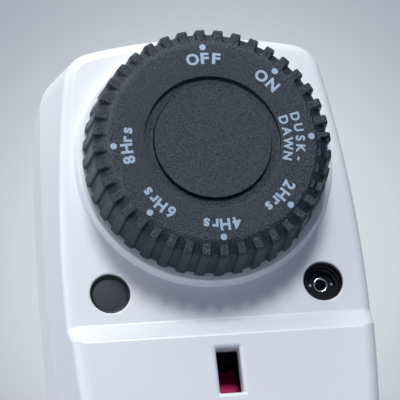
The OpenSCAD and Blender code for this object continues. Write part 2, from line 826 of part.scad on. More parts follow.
switch_w = 21;
switch_floor = 1.4;
cover_t = 1;
cover_top = deck_in - 0.4;
switch_top = cover_top - cover_t;
rotor_r = 6.8;
rotor_z = board_z + switch_floor + 1.2;
rotor_t = 3;
cavity_r = 7.9;
pivot_d = 3;
positions = 8;
terminal_r = 5.1;
terminal_d = 0.8;
notch_r = 1.1;
nose_r = 0.9;
nose_y = -rotor_r - nose_r - 0.15;
leaf_l = 12;
detent_t = 0.4;
leaf_y = nose_y - nose_r;

module at_terminals() {
    at_dial() for (i = [0:positions - 1]) rotate([0, 0, 360 / positions * i])
        translate([0, terminal_r, 0]) children();
}

// The shaft with its notched rotor, in one moulding
module dial_shaft() {
    color([0.85, 0.84, 0.80]) stand() at_dial() difference() {
        union() {
            rod(shaft_d, rotor_z, bush_top, facets = 64);
            d_section(shaft_d, bush_top, shaft_top);
            rod(pivot_d, board_z + 0.2, rotor_z);
            rod(2 * rotor_r, rotor_z, rotor_z + rotor_t, facets = 96);
        }
        for (i = [0:positions - 1]) rotate([0, 0, 360 / positions * i])
            rod(2 * notch_r, rotor_z - bite, rotor_z + rotor_t + bite, y = rotor_r + 0.5);
        rod(screw_d + fit, shaft_top + web_t - dial_screw_l - 0.5, shaft_top + bite);
    }
}

module switch_body() {
    color(black) stand() difference() {
        slab(switch_w, switch_w, board_z, switch_top, y = dial_lift);
        rod(2 * cavity_r, board_z + switch_floor, switch_top + bite, y = dial_lift, facets = 96);
        slab(leaf_l + 0.4, 3, board_z + switch_floor, switch_top + bite,
             y = dial_lift + leaf_y - detent_t / 2 - 0.1 + 1.5);
        rod(pivot_d + 2 * run, board_z - bite, switch_top, y = dial_lift);
        at_terminals() rod(terminal_d + fit, board_z - bite, board_z + switch_floor + bite);
    }
}

module switch_cover() {
    color(steel) stand() difference() {
        slab(switch_w, switch_w, switch_top, cover_top, y = dial_lift);
        rod(shaft_d + 0.6, switch_top - bite, cover_top + bite, y = dial_lift);
    }
}

module switch_terminals() {
    color(brass) stand() at_terminals() rod(terminal_d, board_back - 1, board_z + switch_floor + 0.2);
}

// A brass ring under the rotor with two fingers that wipe the terminals
module wiper_contact() {
    top = rotor_z;
    low = board_z + switch_floor + 0.4;
    color(brass) stand() at_dial() difference() {
        union() {
            rod(2 * terminal_r + 1.4, top - 0.4, top);
            for (turn = [0, 180]) rotate([0, 0, turn]) slab(1.4, 1.4, low, top - 0.4, y = terminal_r);
        }
        rod(2 * terminal_r - 1.8, top - 1, top + bite);
    }
}

// A leaf with a round nose that clicks into the rotor's notches, drawn lifted
// clear of the rotor's rim
module detent_spring() {
    low = board_z + switch_floor + 0.2;
    color(steel) stand() at_dial() {
        rod(2 * nose_r, low, rotor_z + rotor_t, y = nose_y);
        slab(leaf_l, detent_t, low, rotor_z + rotor_t, y = leaf_y);
    }
}

// ---------------------------------------------------------------- board and what stands on it

lead_d = 0.6;
sensor_leads = 1.3;
sensor_z = deck_in - port_flange_t - 3;

module control_board() {
    color([0.10, 0.33, 0.16]) stand() difference() {
        slab(board_w, board_l, board_back, board_z, y = board_lift + board_l / 2);
        at_board_posts() rod(tapping_d + 0.3, board_back - bite, board_z + bite);
        at_terminals() rod(terminal_d + fit, board_back - bite, board_z + bite);
        for (side = [-1, 1]) {
            rod(lead_d + fit, board_back - bite, board_z + bite, side * sensor_leads - port_dx, port_lift);
            rod(jack_pin_d + fit, board_back - bite, board_z + bite, side * jack_pin_dx + port_dx, port_lift);
        }
    }
}

module board_screws() {
    color(steel) stand() at_board_posts() {
        rod(tapping_d + 2, board_back - 1.3, board_back);
        rod(tapping_d, board_back, board_z + tapping_l - 0.5);
    }
}

// Where each part stands on the board's back: middle x, middle y above the board's lower edge
relay_size = [19, 13.6, 15.2];
relay_at = [9.5, 13.25];
mains_cap_size = [18, 7.5, 12];
mains_cap_at = [-10.2, 11.5];
chip_gap = 1.5;
chip_w = 6.4;
chip_t = 3.4;
chip_low = relay_at.y + relay_size.y / 2 + chip_gap;
chip_l = board_l - 1 - chip_low;
chip_at = [post_dx - post_d / 2 - chip_gap - chip_w / 2, chip_low + chip_l / 2];
smoothing_d = 8;
smoothing_h = 11;
smoothing_at = [-13, 20.7];
varistor_d = 7;
varistor_t = 3;
varistor_at = [-5, 19.5];

module on_back(at) { translate([at.x, board_lift + at.y, board_back]) mirror([0, 0, 1]) children(); }

module relay() {
    color([0.12, 0.25, 0.55]) stand() on_back(relay_at) slab(relay_size.x, relay_size.y, 0, relay_size.z);
}

module mains_capacitor() {
    color([0.75, 0.62, 0.15]) stand() on_back(mains_cap_at)
        slab(mains_cap_size.x, mains_cap_size.y, 0, mains_cap_size.z);
}

module smoothing_capacitor() {
    color([0.12, 0.12, 0.20]) stand() on_back(smoothing_at) difference() {
        rod(smoothing_d, 0, smoothing_h);
        slab(smoothing_d * 0.7, 0.3, smoothing_h - 0.3, smoothing_h + bite);
        slab(0.3, smoothing_d * 0.7, smoothing_h - 0.3, smoothing_h + bite);
    }
}

module varistor() {
    color([0.15, 0.30, 0.60]) stand() on_back(varistor_at) {
        translate([0, varistor_t / 2, varistor_d / 2 + 1.5]) rotate([90, 0, 0])
            cylinder(d = varistor_d, h = varistor_t, $fn = 48);
        both_sides() rod(lead_d, 0, 3, x = 2);
    }
}

module timer_chip() {
    color(black) stand() on_back(chip_at) difference() {
        slab(chip_w, chip_l, 0, chip_t);
        rod(1.6, chip_t - 0.3, chip_t + bite, y = chip_l / 2);
    }
}

// A photocell on two leads, close behind its window
module light_sensor() {
    color([0.75, 0.45, 0.30]) stand() translate([-port_dx, port_lift, 0]) {
        rod(5, sensor_z, sensor_z + 2);
        both_sides() rod(lead_d, board_back - 0.8, sensor_z, x = sensor_leads);
    }
}

// A smoked window pushed in from behind, with a flange against the deck
module sensor_window() {
    color([0.10, 0.10, 0.11]) stand() translate([-port_dx, port_lift, 0]) {
        rod(port_d - 0.1, deck_in - bite, deck_z - 0.3, facets = 64);
        rod(port_flange_d, deck_in - port_flange_t, deck_in, facets = 64);
    }
}

// ---------------------------------------------------------------- remote sensor jack

jack_face = deck_z - jack_drop;
sleeve_d = jack_d + 2 * jack_t;
jack_well_d = port_d - 0.7;
jack_step_d = 5.3;
jack_pin_dx = 2.1;
jack_pin_d = 0.6;

module at_jack() { translate([port_dx, port_lift, 0]) children(); }

module jack_housing() {
    color(black) stand() at_jack() difference() {
        union() {
            rod(port_d - 0.1, deck_in - bite, deck_z - 0.3, facets = 64);
            rod(port_flange_d, board_z, deck_in, facets = 64);
        }
        rod(jack_well_d, jack_face + 1, deck_z, facets = 64);
        rod(jack_step_d, jack_face, deck_z, facets = 64);
        rod(sleeve_d + fit, board_z + 2, deck_z, facets = 48);
        both_sides() rod(jack_pin_d + fit, board_z - bite, deck_z, x = jack_pin_dx);
    }
}

module jack_sleeve() {
    color(steel) stand() at_jack() difference() {
        rod(sleeve_d, board_z + 2, jack_face + 0.5, facets = 48);
        rod(jack_d, board_z + 3, deck_z, facets = 48);
    }
}

module jack_contacts() {
    color(steel) stand() at_jack() both_sides()
        rod(jack_pin_d, board_back - 0.8, jack_face + 0.2, x = jack_pin_dx);
}

// ---------------------------------------------------------------- nodes

front_casing();
rear_casing();
sensor_window();
light_sensor();
jack_housing();
jack_sleeve();
jack_contacts();
control_board();
board_screws();
casing_screws();
switch_body();
switch_cover();
switch_terminals();
detent_spring();
relay();
mains_capacitor();
smoothing_capacitor();
varistor();
timer_chip();
earth_pin();
line_pin();
neutral_pin();
line_pin_sleeve();
neutral_pin_sleeve();
pin_retainer();
contact_carrier();
earth_contact();
line_contact();
neutral_contact();
line_link();
switched_link();
neutral_link();
shutter();
shutter_spring();
dial_knob();
dial_cap();
dial_screw();
dial_shaft();
wiper_contact();
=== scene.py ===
# %% [markdown]
# # A plug-in timer switch, piece by piece
# The real object is a white, two-part moulded casing that plugs straight into a wall
# socket. A ribbed dark dial sits near its top, a smoked sensor window and a small jack
# sit below the dial, and a raised panel with three shuttered apertures takes the plug.
# The frame holds every piece at its real size. This lesson gives the pieces that are
# seen a finer surface, gives all of them a finish, and lights them in a small studio.

import math

import bmesh
import bpy
from mathutils import Matrix, Vector


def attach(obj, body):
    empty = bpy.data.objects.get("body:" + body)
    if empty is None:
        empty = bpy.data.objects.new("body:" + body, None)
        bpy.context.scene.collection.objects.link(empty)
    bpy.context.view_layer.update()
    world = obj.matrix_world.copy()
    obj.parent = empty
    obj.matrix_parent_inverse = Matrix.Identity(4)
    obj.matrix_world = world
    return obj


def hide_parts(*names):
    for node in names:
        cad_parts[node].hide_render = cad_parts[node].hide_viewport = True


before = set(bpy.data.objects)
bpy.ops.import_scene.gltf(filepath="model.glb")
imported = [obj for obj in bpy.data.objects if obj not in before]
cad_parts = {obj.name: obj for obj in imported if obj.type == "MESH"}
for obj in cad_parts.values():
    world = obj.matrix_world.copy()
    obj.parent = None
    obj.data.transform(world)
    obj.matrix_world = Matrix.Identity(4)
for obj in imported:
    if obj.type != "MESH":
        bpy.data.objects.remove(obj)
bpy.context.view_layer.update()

# %% [markdown]
# ## Even shading
# A moulding's large faces are flat, and only the narrow roundings between them turn. Plain
# smooth shading blends all neighbours alike, so a large face beside a rounding looks
# dented. Many more faces would cure that, at a cost. The Weighted Normal modifier cures it
# without them: a large face keeps its own direction and the rounding takes the whole turn.
# It overlooks very small faces, so it works on a drawing that is still in millimetres.

# %% Shade a drawing
SHARP = 35


def evenly_shaded(drawing, sharp):
    """Shades a drawing smooth, apart from its edges above the sharp angle."""
    drawing.polygons.foreach_set("use_smooth", [True] * len(drawing.polygons))
    drawing.set_sharp_from_angle(angle=math.radians(sharp))
    board = bpy.data.objects.new("drawing", drawing)
    bpy.context.scene.collection.objects.link(board)
    board.modifiers.new("even shading", "WEIGHTED_NORMAL").keep_sharp = True
    shape = board.evaluated_get(bpy.context.evaluated_depsgraph_get())
    mesh = bpy.data.meshes.new_from_object(shape)
    bpy.data.meshes.remove(drawing)
    return mesh


print("edges stay sharp above", SHARP, "degrees")

# %% [markdown]
# ## Drawing board
# It is easiest to think of the switch lying on its back: x to the right, y up the wall
# and z out of the wall, in millimetres, with z = 0 on the face that meets the socket.
# A piece could be drawn lying down and its object turned upright afterwards. Here the last
# thing done to its mesh is to scale it to metres and stand it up instead, so that its
# object stays at the origin, unturned, like the pieces of the frame.

# %% Stand a drawing up and make it a piece
STAND = Matrix.Rotation(math.radians(90), 4, "X") @ Matrix.Scale(0.001, 4)
FINE_WELD = 0.0005


def make_piece(name, bm, material, body, nodes=(), sharp=SHARP):
    """Turns a drawing into a piece that rides on a body and stands in for its nodes."""
    bmesh.ops.remove_doubles(bm, verts=bm.verts, dist=FINE_WELD)
    bmesh.ops.recalc_face_normals(bm, faces=bm.faces)
    drawing = bpy.data.meshes.new("drawing")
    bm.to_mesh(drawing)
    bm.free()
    mesh = evenly_shaded(drawing, sharp)
    mesh.transform(STAND)
    mesh.materials.clear()
    mesh.materials.append(material)
    obj = bpy.data.objects.new(name, mesh)
    bpy.context.scene.collection.objects.link(obj)
    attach(obj, body)
    if nodes:
        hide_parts(*nodes)
    print(f"{name}: {len(mesh.polygons)} faces")


print("a millimetre stands as", STAND.to_scale()[0], "m")

# %% [markdown]
# ## Finishes
# Moulded plastic is never perfectly even. A picture of plastic could be wrapped round each
# piece, but the piece would have to be unfolded first, and the picture blurs in close-up.
# Noise needs neither. Each finish here has three noises: one drifts its colour by a few
# per cent, one varies how glossy it is, and one is a shallow bump, like the grain that a
# mould leaves. The dial's dark plastic also has light and black specks as fine as its
# grain. All of them read Object coordinates, so they stay put when a piece moves.

# %% Nodes for a finish
NOISE_LOW, NOISE_HIGH = 0.25, 0.75


def add_node(tree, kind, **values):
    """A new node, with its sockets or settings given by name."""
    made = tree.nodes.new(kind)
    for key, value in values.items():
        if key in made.inputs:
            made.inputs[key].default_value = value
        else:
            setattr(made, key, value)
    return made


def noise(tree, scale, detail=2.0, roughness=0.5):
    """A noise in the piece's own coordinates."""
    place = next((n for n in tree.nodes if n.type == "TEX_COORD"), None)
    place = place or tree.nodes.new("ShaderNodeTexCoord")
    made = add_node(tree, "ShaderNodeTexNoise", Scale=scale, Detail=detail)
    made.inputs["Roughness"].default_value = roughness
    tree.links.new(place.outputs["Object"], made.inputs["Vector"])
    return made.outputs["Fac"]


def between(tree, fac, low, high):
    """Spreads the middle half of a 0 to 1 value over a range."""
    made = add_node(tree, "ShaderNodeMapRange")
    made.inputs["From Min"].default_value = NOISE_LOW
    made.inputs["From Max"].default_value = NOISE_HIGH
    made.inputs["To Min"].default_value = low
    made.inputs["To Max"].default_value = high
    tree.links.new(fac, made.inputs["Value"])
    return made.outputs["Result"]


def mixed(tree, fac, low, high):
    """A colour between two others."""
    made = add_node(tree, "ShaderNodeMix", data_type="RGBA")
    made.inputs["A"].default_value = (*low, 1)
    made.inputs["B"].default_value = (*high, 1)
    tree.links.new(fac, made.inputs["Factor"])
    return made.outputs["Result"]


print("a noise lies mostly between", NOISE_LOW, "and", NOISE_HIGH)

# %% The casing's white and the dial's charcoal
DRIFT_SCALE, GLOSS_SCALE = 60, 250


def finish(name, colour, rough, drift=0.03, grain=1500, depth=0.00001, metal=0.0,
           spread=0.05, speckle=0.0):
    """A finish whose colour drifts, whose gloss varies and whose surface has a fine grain."""
    made = bpy.data.materials.new(name)
    made.use_nodes = True
    tree = made.node_tree
    shader = tree.nodes["Principled BSDF"]
    low = [c * (1 - drift) for c in colour]
    high = [min(1, c * (1 + drift)) for c in colour]
    colour = mixed(tree, noise(tree, DRIFT_SCALE), low, high)
    if speckle:
        specks = between(tree, noise(tree, grain, 2, 0.7), 1 - speckle, 1 + speckle)
        scaled = add_node(tree, "ShaderNodeVectorMath", operation="SCALE")
        tree.links.new(colour, scaled.inputs[0])
        tree.links.new(specks, scaled.inputs["Scale"])
        colour = scaled.outputs["Vector"]
    tree.links.new(colour, shader.inputs["Base Color"])
    gloss = between(tree, noise(tree, GLOSS_SCALE, 3), rough - spread, rough + spread)
    tree.links.new(gloss, shader.inputs["Roughness"])
    shader.inputs["Metallic"].default_value = metal
    bump = add_node(tree, "ShaderNodeBump", Strength=0.4, Distance=depth)
    tree.links.new(noise(tree, grain, 3, 0.6), bump.inputs["Height"])
    tree.links.new(bump.outputs["Normal"], shader.inputs["Normal"])
    return made


white = finish("casing white", (0.80, 0.81, 0.84), 0.3, drift=0.005, grain=2600,
               depth=0.000003, spread=0.015)
charcoal = finish("dial charcoal", (0.0135, 0.026, 0.041), 0.38, drift=0.06, grain=3250,
                  depth=0.001, speckle=2.0)
print("finishes so far:", [m.name for m in bpy.data.materials])

# %% [markdown]
# ## The casing's outline
# Seen from the front, each side of the casing is a shallow bow and each corner a small
# arc that meets two bows smoothly. A bezier curve could be drawn along it by hand, but the
# moulding leans in on its way out of the mould, and its long sides bow more at the deck
# than at the seam. So the outline is worked out for a level t, from 0 at the seam to 1 at
# the deck. Only the right half is drawn; the left one comes from a mirror.

# %% Outline at a level
CASING_W, CASING_L, LIFT = 62.0, 110.0, 26.2
DRAFT, CORNER_R, END_R = 1.4, 8.2, 100.0
SEAM_SIDE_R, DECK_SIDE_R = 470.0, 265.0


def arc(centre, radius, start, end, steps):
    """Points on an arc, from one angle to another in degrees."""
    turns = [math.radians(start + (end - start) * i / steps) for i in range(steps + 1)]
    return [Vector((centre[0] + radius * math.cos(a), centre[1] + radius * math.sin(a)))
            for a in turns]


def corner_centre(side_c, side_r, end_c, radius):
    """The centre of the arc that touches a side's bow and an end's bow from inside."""
    side, end = Vector((side_c, 0)), Vector((0, end_c))
    from_side, from_end = side_r - radius, END_R - radius
    apart = (end - side).length
    u = (end - side) / apart
    along = (apart ** 2 + from_side ** 2 - from_end ** 2) / (2 * apart)
    return side + along * u + math.sqrt(from_side ** 2 - along ** 2) * Vector((-u.y, u.x))


def level(t):
    """The side's centre and radius, the end's centre, the corner's radius and centre."""
    lean = DRAFT * t
    side_r = 1 / ((1 - t) / SEAM_SIDE_R + t / DECK_SIDE_R)
    side_c = CASING_W / 2 - lean - side_r
    end_c = CASING_L / 2 - lean - END_R
    radius = CORNER_R - lean
    return side_c, side_r, end_c, radius, corner_centre(side_c, side_r, end_c, radius)


print("corner of the seam:", [round(c, 2) for c in level(0)[4]])

# %% [markdown]
# ## The ramp
# A ramp leads from the deck up to the socket panel, and both of its creases are rounded.
# They could be bevelled afterwards, but a bevel that runs out into the rounded edges of the
# casing often tears there. So the roundings are part of the profile from the start.

# %% Ramp profile
REAR_D, FRONT_D, RAISED = 18.0, 15.0, 3.5
DECK = REAR_D + FRONT_D
PANEL = DECK + RAISED
RAMP_FOOT, RAMP_L, RAMP_ROUND = 21.9, 3.6, 1.3

slope = math.degrees(math.atan2(RAISED, RAMP_L))
reach = RAMP_ROUND * math.tan(math.radians(slope / 2))
crest = arc((RAMP_FOOT - RAMP_L - reach, PANEL - RAMP_ROUND), RAMP_ROUND, 90, 90 - slope, 8)
foot = arc((RAMP_FOOT + reach, DECK + RAMP_ROUND), RAMP_ROUND, -90 - slope, -90, 8)
profile = crest + foot


def front_height(y):
    """How high the casing's front lies at a place up the wall."""
    if y <= profile[0].x:
        return profile[0].y
    for a, b in zip(profile, profile[1:]):
        if y <= b.x:
            return a.y + (b.y - a.y) * (y - a.x) / (b.x - a.x)
    return profile[-1].y


print("ramp slope:", round(slope, 1), "degrees")

# %% [markdown]
# ## Points of the half outline
# The points could be spread evenly along the outline, but then the ramp's creases would
# zigzag between them. The points on the long side lie at the same heights at every level
# instead, so the creases run level across the casing. The corners and ends get enough
# steps to look round in close-up.

# %% Right half of the outline
def steps_between(a, b, n):
    """The values inside a range that is cut into n equal steps."""
    return [a + (b - a) * i / n for i in range(1, n)]


corner_y = level(0)[4].y
side_heights = (steps_between(LIFT - corner_y, crest[0].x, 10) + [p.x for p in crest]
                + steps_between(crest[-1].x, foot[0].x, 4) + [p.x for p in foot]
                + steps_between(foot[-1].x, LIFT + corner_y, 14))


def right_half(t, inset):
    """The half outline of a level, moved inwards by an inset, from the bottom up."""
    side_c, side_r, end_c, radius, corner = level(t)
    off_side = math.degrees(math.atan2(corner.y, corner.x - side_c))
    onto_end = math.degrees(math.atan2(corner.y - end_c, corner.x))
    upper = (arc(corner, radius - inset, off_side, onto_end, 14)
             + arc((0, end_c), END_R - inset, onto_end, 90, 10)[1:])
    side = [Vector((side_c + math.sqrt((side_r - inset) ** 2 - (y - LIFT) ** 2), y))
            for y in side_heights]
    return ([Vector((p.x, LIFT - p.y)) for p in reversed(upper)] + side
            + [Vector((p.x, LIFT + p.y)) for p in upper])


def flat_ring(z, inset):
    """The seam's half outline at a height."""
    return [Vector((p.x, p.y, z)) for p in right_half(0, inset)]


print("points on the half outline:", len(right_half(0, 0)))

# %% [markdown]
# ## A skin over rings
# The casing's walls are stretched over such half outlines. Lofting tools do this in one
# go, but they choose the faces themselves. Here the first outline is laid down as an
# edge, and each next one is extruded from the last and moved into place, so that every
# face is a neat four-sided one. The two ends are extruded to the middle, and a mirror
# closes the whole shell.

# %% Skin, closed at both ends and mirrored
WELD = 0.001


def extrude_to(bm, row, points):
    """Extrudes a row of vertices onto new points and gives the new row."""
    edges = [next(e for e in a.link_edges if e.other_vert(a) is b) for a, b in zip(row, row[1:])]
    made = bmesh.ops.extrude_edge_only(bm, edges=edges)["geom"]
    fresh = {v for v in made if isinstance(v, bmesh.types.BMVert)}
    grown = [next(e.other_vert(v) for e in v.link_edges if e.other_vert(v) in fresh) for v in row]
    for v, p in zip(grown, points):
        v.co = p
    return grown


def mirrored_skin(rings):
    """A closed shell over half outlines, from the first to the last."""
    bm = bmesh.new()
    row = [bm.verts.new((0, p.y, p.z)) for p in rings[0]]
    for a, b in zip(row, row[1:]):
        bm.edges.new((a, b))
    for ring in rings:
        row = extrude_to(bm, row, ring)
    extrude_to(bm, row, [Vector((0, p.y, p.z)) for p in rings[-1]])
    bmesh.ops.mirror(bm, geom=bm.verts[:] + bm.edges[:] + bm.faces[:], axis="X", merge_dist=WELD)
    bmesh.ops.remove_doubles(bm, verts=bm.verts, dist=WELD)
    bmesh.ops.dissolve_degenerate(bm, edges=bm.edges, dist=WELD)
    bmesh.ops.recalc_face_normals(bm, faces=bm.faces)
    return bm


print("the halves are welded within", WELD, "mm")

# %% [markdown]
# ## The front casing's skin
# The deck's edge has a small rounding, which runs up the ramp and becomes the larger
# rounding of the socket panel. A bevel has one width at a time and can't do that, so the
# rounding is drawn as rings, each a little further in and a little higher. At the seam
# both halves step in by a millimetre, and the groove between them is the dark line where
# they meet. It gapes towards the lower end.

# %% Front casing: skin
DECK_FILLET, PANEL_FILLET = 2.0, 2.6
SEAM, WALL, LIP = 1.0, 2.2, 0.02
GAPE_TOP, GAPE_GROWTH, GAPE_MOST = 0.06, 1.3, 0.45
panel_lean = DRAFT * (RAISED + DECK_FILLET - PANEL_FILLET) / FRONT_D


def drop(inset, radius):
    """How far a rounded edge has fallen where it is an inset in from its outside."""
    return radius - math.sqrt(radius ** 2 - (radius - min(inset, radius)) ** 2)


def edge_ring(inset):
    """A ring of the rounding that goes round the deck and the socket panel."""
    ring = []
    for deck, panel in zip(right_half(1, inset), right_half(1, inset + panel_lean)):
        z = front_height(deck.y)
        p = deck + (panel - deck) * (z - DECK) / RAISED
        z = min(z - drop(inset, DECK_FILLET), PANEL - drop(inset, PANEL_FILLET))
        ring.append(Vector((p.x, p.y, z)))
    return ring


def seam_ring(side, inset, out=0.0):
    """A lip of the seam, 1 on the front casing or -1 on the rear one."""
    ring = []
    for p in right_half(0, inset):
        lower = max(0, LIFT - p.y) / (CASING_L / 2)
        gape = min(GAPE_MOST, GAPE_TOP + GAPE_GROWTH * lower ** 2)
        ring.append(Vector((p.x, p.y, REAR_D + side * (gape + out))))
    return ring


rounding = [PANEL_FILLET * (1 - math.cos(math.radians(a))) for a in range(0, 91, 9)]
front = mirrored_skin([flat_ring(REAR_D + LIP, SEAM), seam_ring(1, SEAM), seam_ring(1, LIP),
                       seam_ring(1, 0, LIP)] + [edge_ring(inset) for inset in rounding])
print("front skin:", len(front.faces), "faces")

# %% [markdown]
# ## Cutting and joining
# The front casing is hollow, carries a round plinth for the dial and has five holes. Such
# holes could be built into the skin face by face, which is slow to draw and hard to
# change. The Boolean modifier cuts them instead. It is applied at once, since the cutter
# is no part of the object.

# %% Boolean on a drawing
SOLVER = "EXACT"


def cut(bm, tool, how="DIFFERENCE"):
    """Cuts one drawing with another, or joins them, and gives the result."""
    parts = []
    for source in (bm, tool):
        mesh = bpy.data.meshes.new("drawing")
        source.to_mesh(mesh)
        source.free()
        parts.append(bpy.data.objects.new("drawing", mesh))
        bpy.context.scene.collection.objects.link(parts[-1])
    step = parts[0].modifiers.new("cut", "BOOLEAN")
    step.operation, step.solver, step.object = how, SOLVER, parts[1]
    shape = parts[0].evaluated_get(bpy.context.evaluated_depsgraph_get())
    result = bmesh.new()
    result.from_mesh(shape.to_mesh())
    shape.to_mesh_clear()
    for part in parts:
        bpy.data.meshes.remove(part.data)
    return result


def block(x, y, width, height, low, high):
    """A box round a place on the wall, from one height to another."""
    bm = bmesh.new()
    place = Matrix.Translation((x, y, (low + high) / 2))
    size = Matrix.Diagonal((width, height, high - low, 1))
    bmesh.ops.create_cube(bm, size=1, matrix=place @ size)
    return bm


def turned(points, x=0.0, y=0.0, steps=96):
    """Spins a profile of (radius, height) about an upright axis."""
    bm = bmesh.new()
    row = [bm.verts.new((r, 0, z)) for r, z in points]
    edges = [bm.edges.new(pair) for pair in zip(row, row[1:])]
    bmesh.ops.spin(bm, geom=row + edges, axis=(0, 0, 1), cent=(0, 0, 0), steps=steps,
                   angle=math.tau, use_merge=True)
    bmesh.ops.remove_doubles(bm, verts=bm.verts, dist=FINE_WELD)
    bmesh.ops.dissolve_degenerate(bm, edges=bm.edges, dist=FINE_WELD)
    bmesh.ops.recalc_face_normals(bm, faces=bm.faces)
    bmesh.ops.translate(bm, verts=bm.verts, vec=(x, y, 0))
    return bm


print("cuts are made by the", SOLVER, "solver")

# %% [markdown]
# ## Flared cutters
# The edge of every moulded hole is a little rounded. A bevel on the finished hole is hard
# to keep apart from the edges near it, so the cutter itself gets a mouth that flares like
# a trumpet and leaves a rounded edge behind. A round cutter is turned. An aperture's
# cutter starts as a rectangle with rounded corners and is extruded upwards in a few
# steps, each a little wider.

# %% Cutters for an aperture and a round hole
FLARE_STEPS, PAST = 8, 1.0


def aperture_cutter(x, y, width, height, low, face, lead=0.85, corner=0.35):
    """A cutter for a rectangular hole whose mouth flares by a lead-in below a face."""
    bm = bmesh.new()
    start = Matrix.Translation((x, y, low)) @ Matrix.Diagonal((width, height, 1, 1))
    made = bmesh.ops.create_grid(bm, x_segments=1, y_segments=1, size=0.5, matrix=start)["verts"]
    bmesh.ops.bevel(bm, geom=made, offset=corner, segments=5, profile=0.5, affect="VERTICES",
                    material=-1)
    rim, wide, high = bm.faces[:], width, height
    for i in range(FLARE_STEPS):
        turn = math.radians(90 * i / (FLARE_STEPS - 1))
        out = 2 * lead * (1 - math.cos(turn))
        grown = bmesh.ops.extrude_face_region(bm, geom=rim)["geom"]
        if i:
            bmesh.ops.delete(bm, geom=rim, context="FACES_ONLY")
        rim = [f for f in grown if isinstance(f, bmesh.types.BMFace)]
        for v in {v for f in rim for v in f.verts}:
            v.co = Vector((x + (v.co.x - x) * (width + out) / wide,
                           y + (v.co.y - y) * (height + out) / high,
                           face - lead + lead * math.sin(turn)))
        wide, high = width + out, height + out
    top = bmesh.ops.extrude_face_region(bm, geom=rim)["geom"]
    bmesh.ops.delete(bm, geom=rim, context="FACES_ONLY")
    bmesh.ops.translate(bm, verts=[v for v in top if isinstance(v, bmesh.types.BMVert)],
                        vec=(0, 0, PAST))
    bmesh.ops.recalc_face_normals(bm, faces=bm.faces)
    return bm


def flared_rod(radius, low, face, lead, x=0.0, y=0.0, steps=96):
    """A cutter for a round hole, with the same kind of mouth."""
    mouth = [(radius + lead * (1 - math.cos(math.radians(a))),
              face - lead + lead * math.sin(math.radians(a))) for a in range(0, 91, 15)]
    above = face + PAST
    return turned([(0, low), (radius, low)] + mouth + [(mouth[-1][0], above), (0, above)],
                  x, y, steps)


print("a cutter reaches", PAST, "mm past the face that it cuts")

# %% [markdown]
# ## The front casing's plinth, hollow and holes
# The dial stands on a round plinth, turned from a small profile and joined on. The hollow
# is a second skin, one wall further in. Before it is cut out, a block round each aperture
# is taken away from it, and what stays of the casing there is the aperture's tunnel.

# %% Front casing: finish the shape
DIAL_Y, PORT_X, PORT_Y, PORT_R, SHAFT_HOLE_R = 53.7, 20.7, 28.4, 3.85, 3.1
PLINTH_R, PLINTH_H, PLINTH_WALL, PLINTH_LEAN, PLINTH_EDGE = 25.3, 2.2, 2.4, 0.4, 0.5
PIN_X, POLE_Y, EARTH_Y = 11.11, -11.115, 11.115
TUNNEL, TUNNEL_WALL = PANEL - 3.2, 1.4
THROUGH, PORT_LEAD, SHAFT_LEAD = DECK - 4, 0.35, 0.2

plinth_top, plinth_in = DECK + PLINTH_H, PLINTH_R - PLINTH_WALL
plinth_edge = arc((PLINTH_R - PLINTH_LEAN - PLINTH_EDGE, plinth_top - PLINTH_EDGE),
                  PLINTH_EDGE, 0, 90, 8)
plinth = turned([(plinth_in, DECK - 0.5), (PLINTH_R, DECK - 0.5), (PLINTH_R, DECK)]
                + [(p.x, p.y) for p in plinth_edge]
                + [(plinth_in, plinth_top), (plinth_in, DECK - 0.5)], y=DIAL_Y, steps=180)
front = cut(front, plinth, "UNION")


def sunk_ring(sunk, inset):
    """A ring that follows the deck, the ramp and the panel from below."""
    return [Vector((p.x, p.y, front_height(p.y) - sunk)) for p in right_half(1, inset)]


hollow = mirrored_skin([flat_ring(REAR_D - PAST, WALL), flat_ring(REAR_D + 0.5, WALL),
                        sunk_ring(WALL, WALL)])
apertures = [(0, EARTH_Y, 4.5, 8.7), (PIN_X, POLE_Y, 6.95, 4.6), (-PIN_X, POLE_Y, 6.95, 4.6)]
for x, y, w, h in apertures:
    hollow = cut(hollow, block(x, y, w + 2 * TUNNEL_WALL, h + 2 * TUNNEL_WALL, TUNNEL, PANEL + PAST))
front = cut(front, hollow)
for x, y, w, h in apertures:
    front = cut(front, aperture_cutter(x, y, w, h, TUNNEL - PAST, PANEL))
for side in (-1, 1):
    front = cut(front, flared_rod(PORT_R, THROUGH, DECK, PORT_LEAD, side * PORT_X, PORT_Y))
front = cut(front, flared_rod(SHAFT_HOLE_R, THROUGH, DECK, SHAFT_LEAD, 0, DIAL_Y, 64))
make_piece("front_casing_moulding", front, white, "casing", ["front_casing"])

# %% [markdown]
# ## The rear casing
# It has the same outline, a rounded back edge, and slots for the pins. The four screws
# sit deep in round wells, as they do on most plug-in devices. The same three tools make
# it: a skin over rings, a hollow, and cutters for what goes through.

# %% Rear casing
REAR_FILLET, REAR_DRAFT, BACK_T = 2.5, 0.2, 2.4
INNER_LEAN, INNER_BEVEL = 0.2, 1.2
TOWER_R, TOWER_TOP = 4.0, 11.0
WELL_R, WELL_EDGE, WELL_TOP, SCREW_HOLE_R = 3.0, 0.3, 9.0, 1.7


def rear_lean(z):
    return REAR_DRAFT * (REAR_D - z) / REAR_D


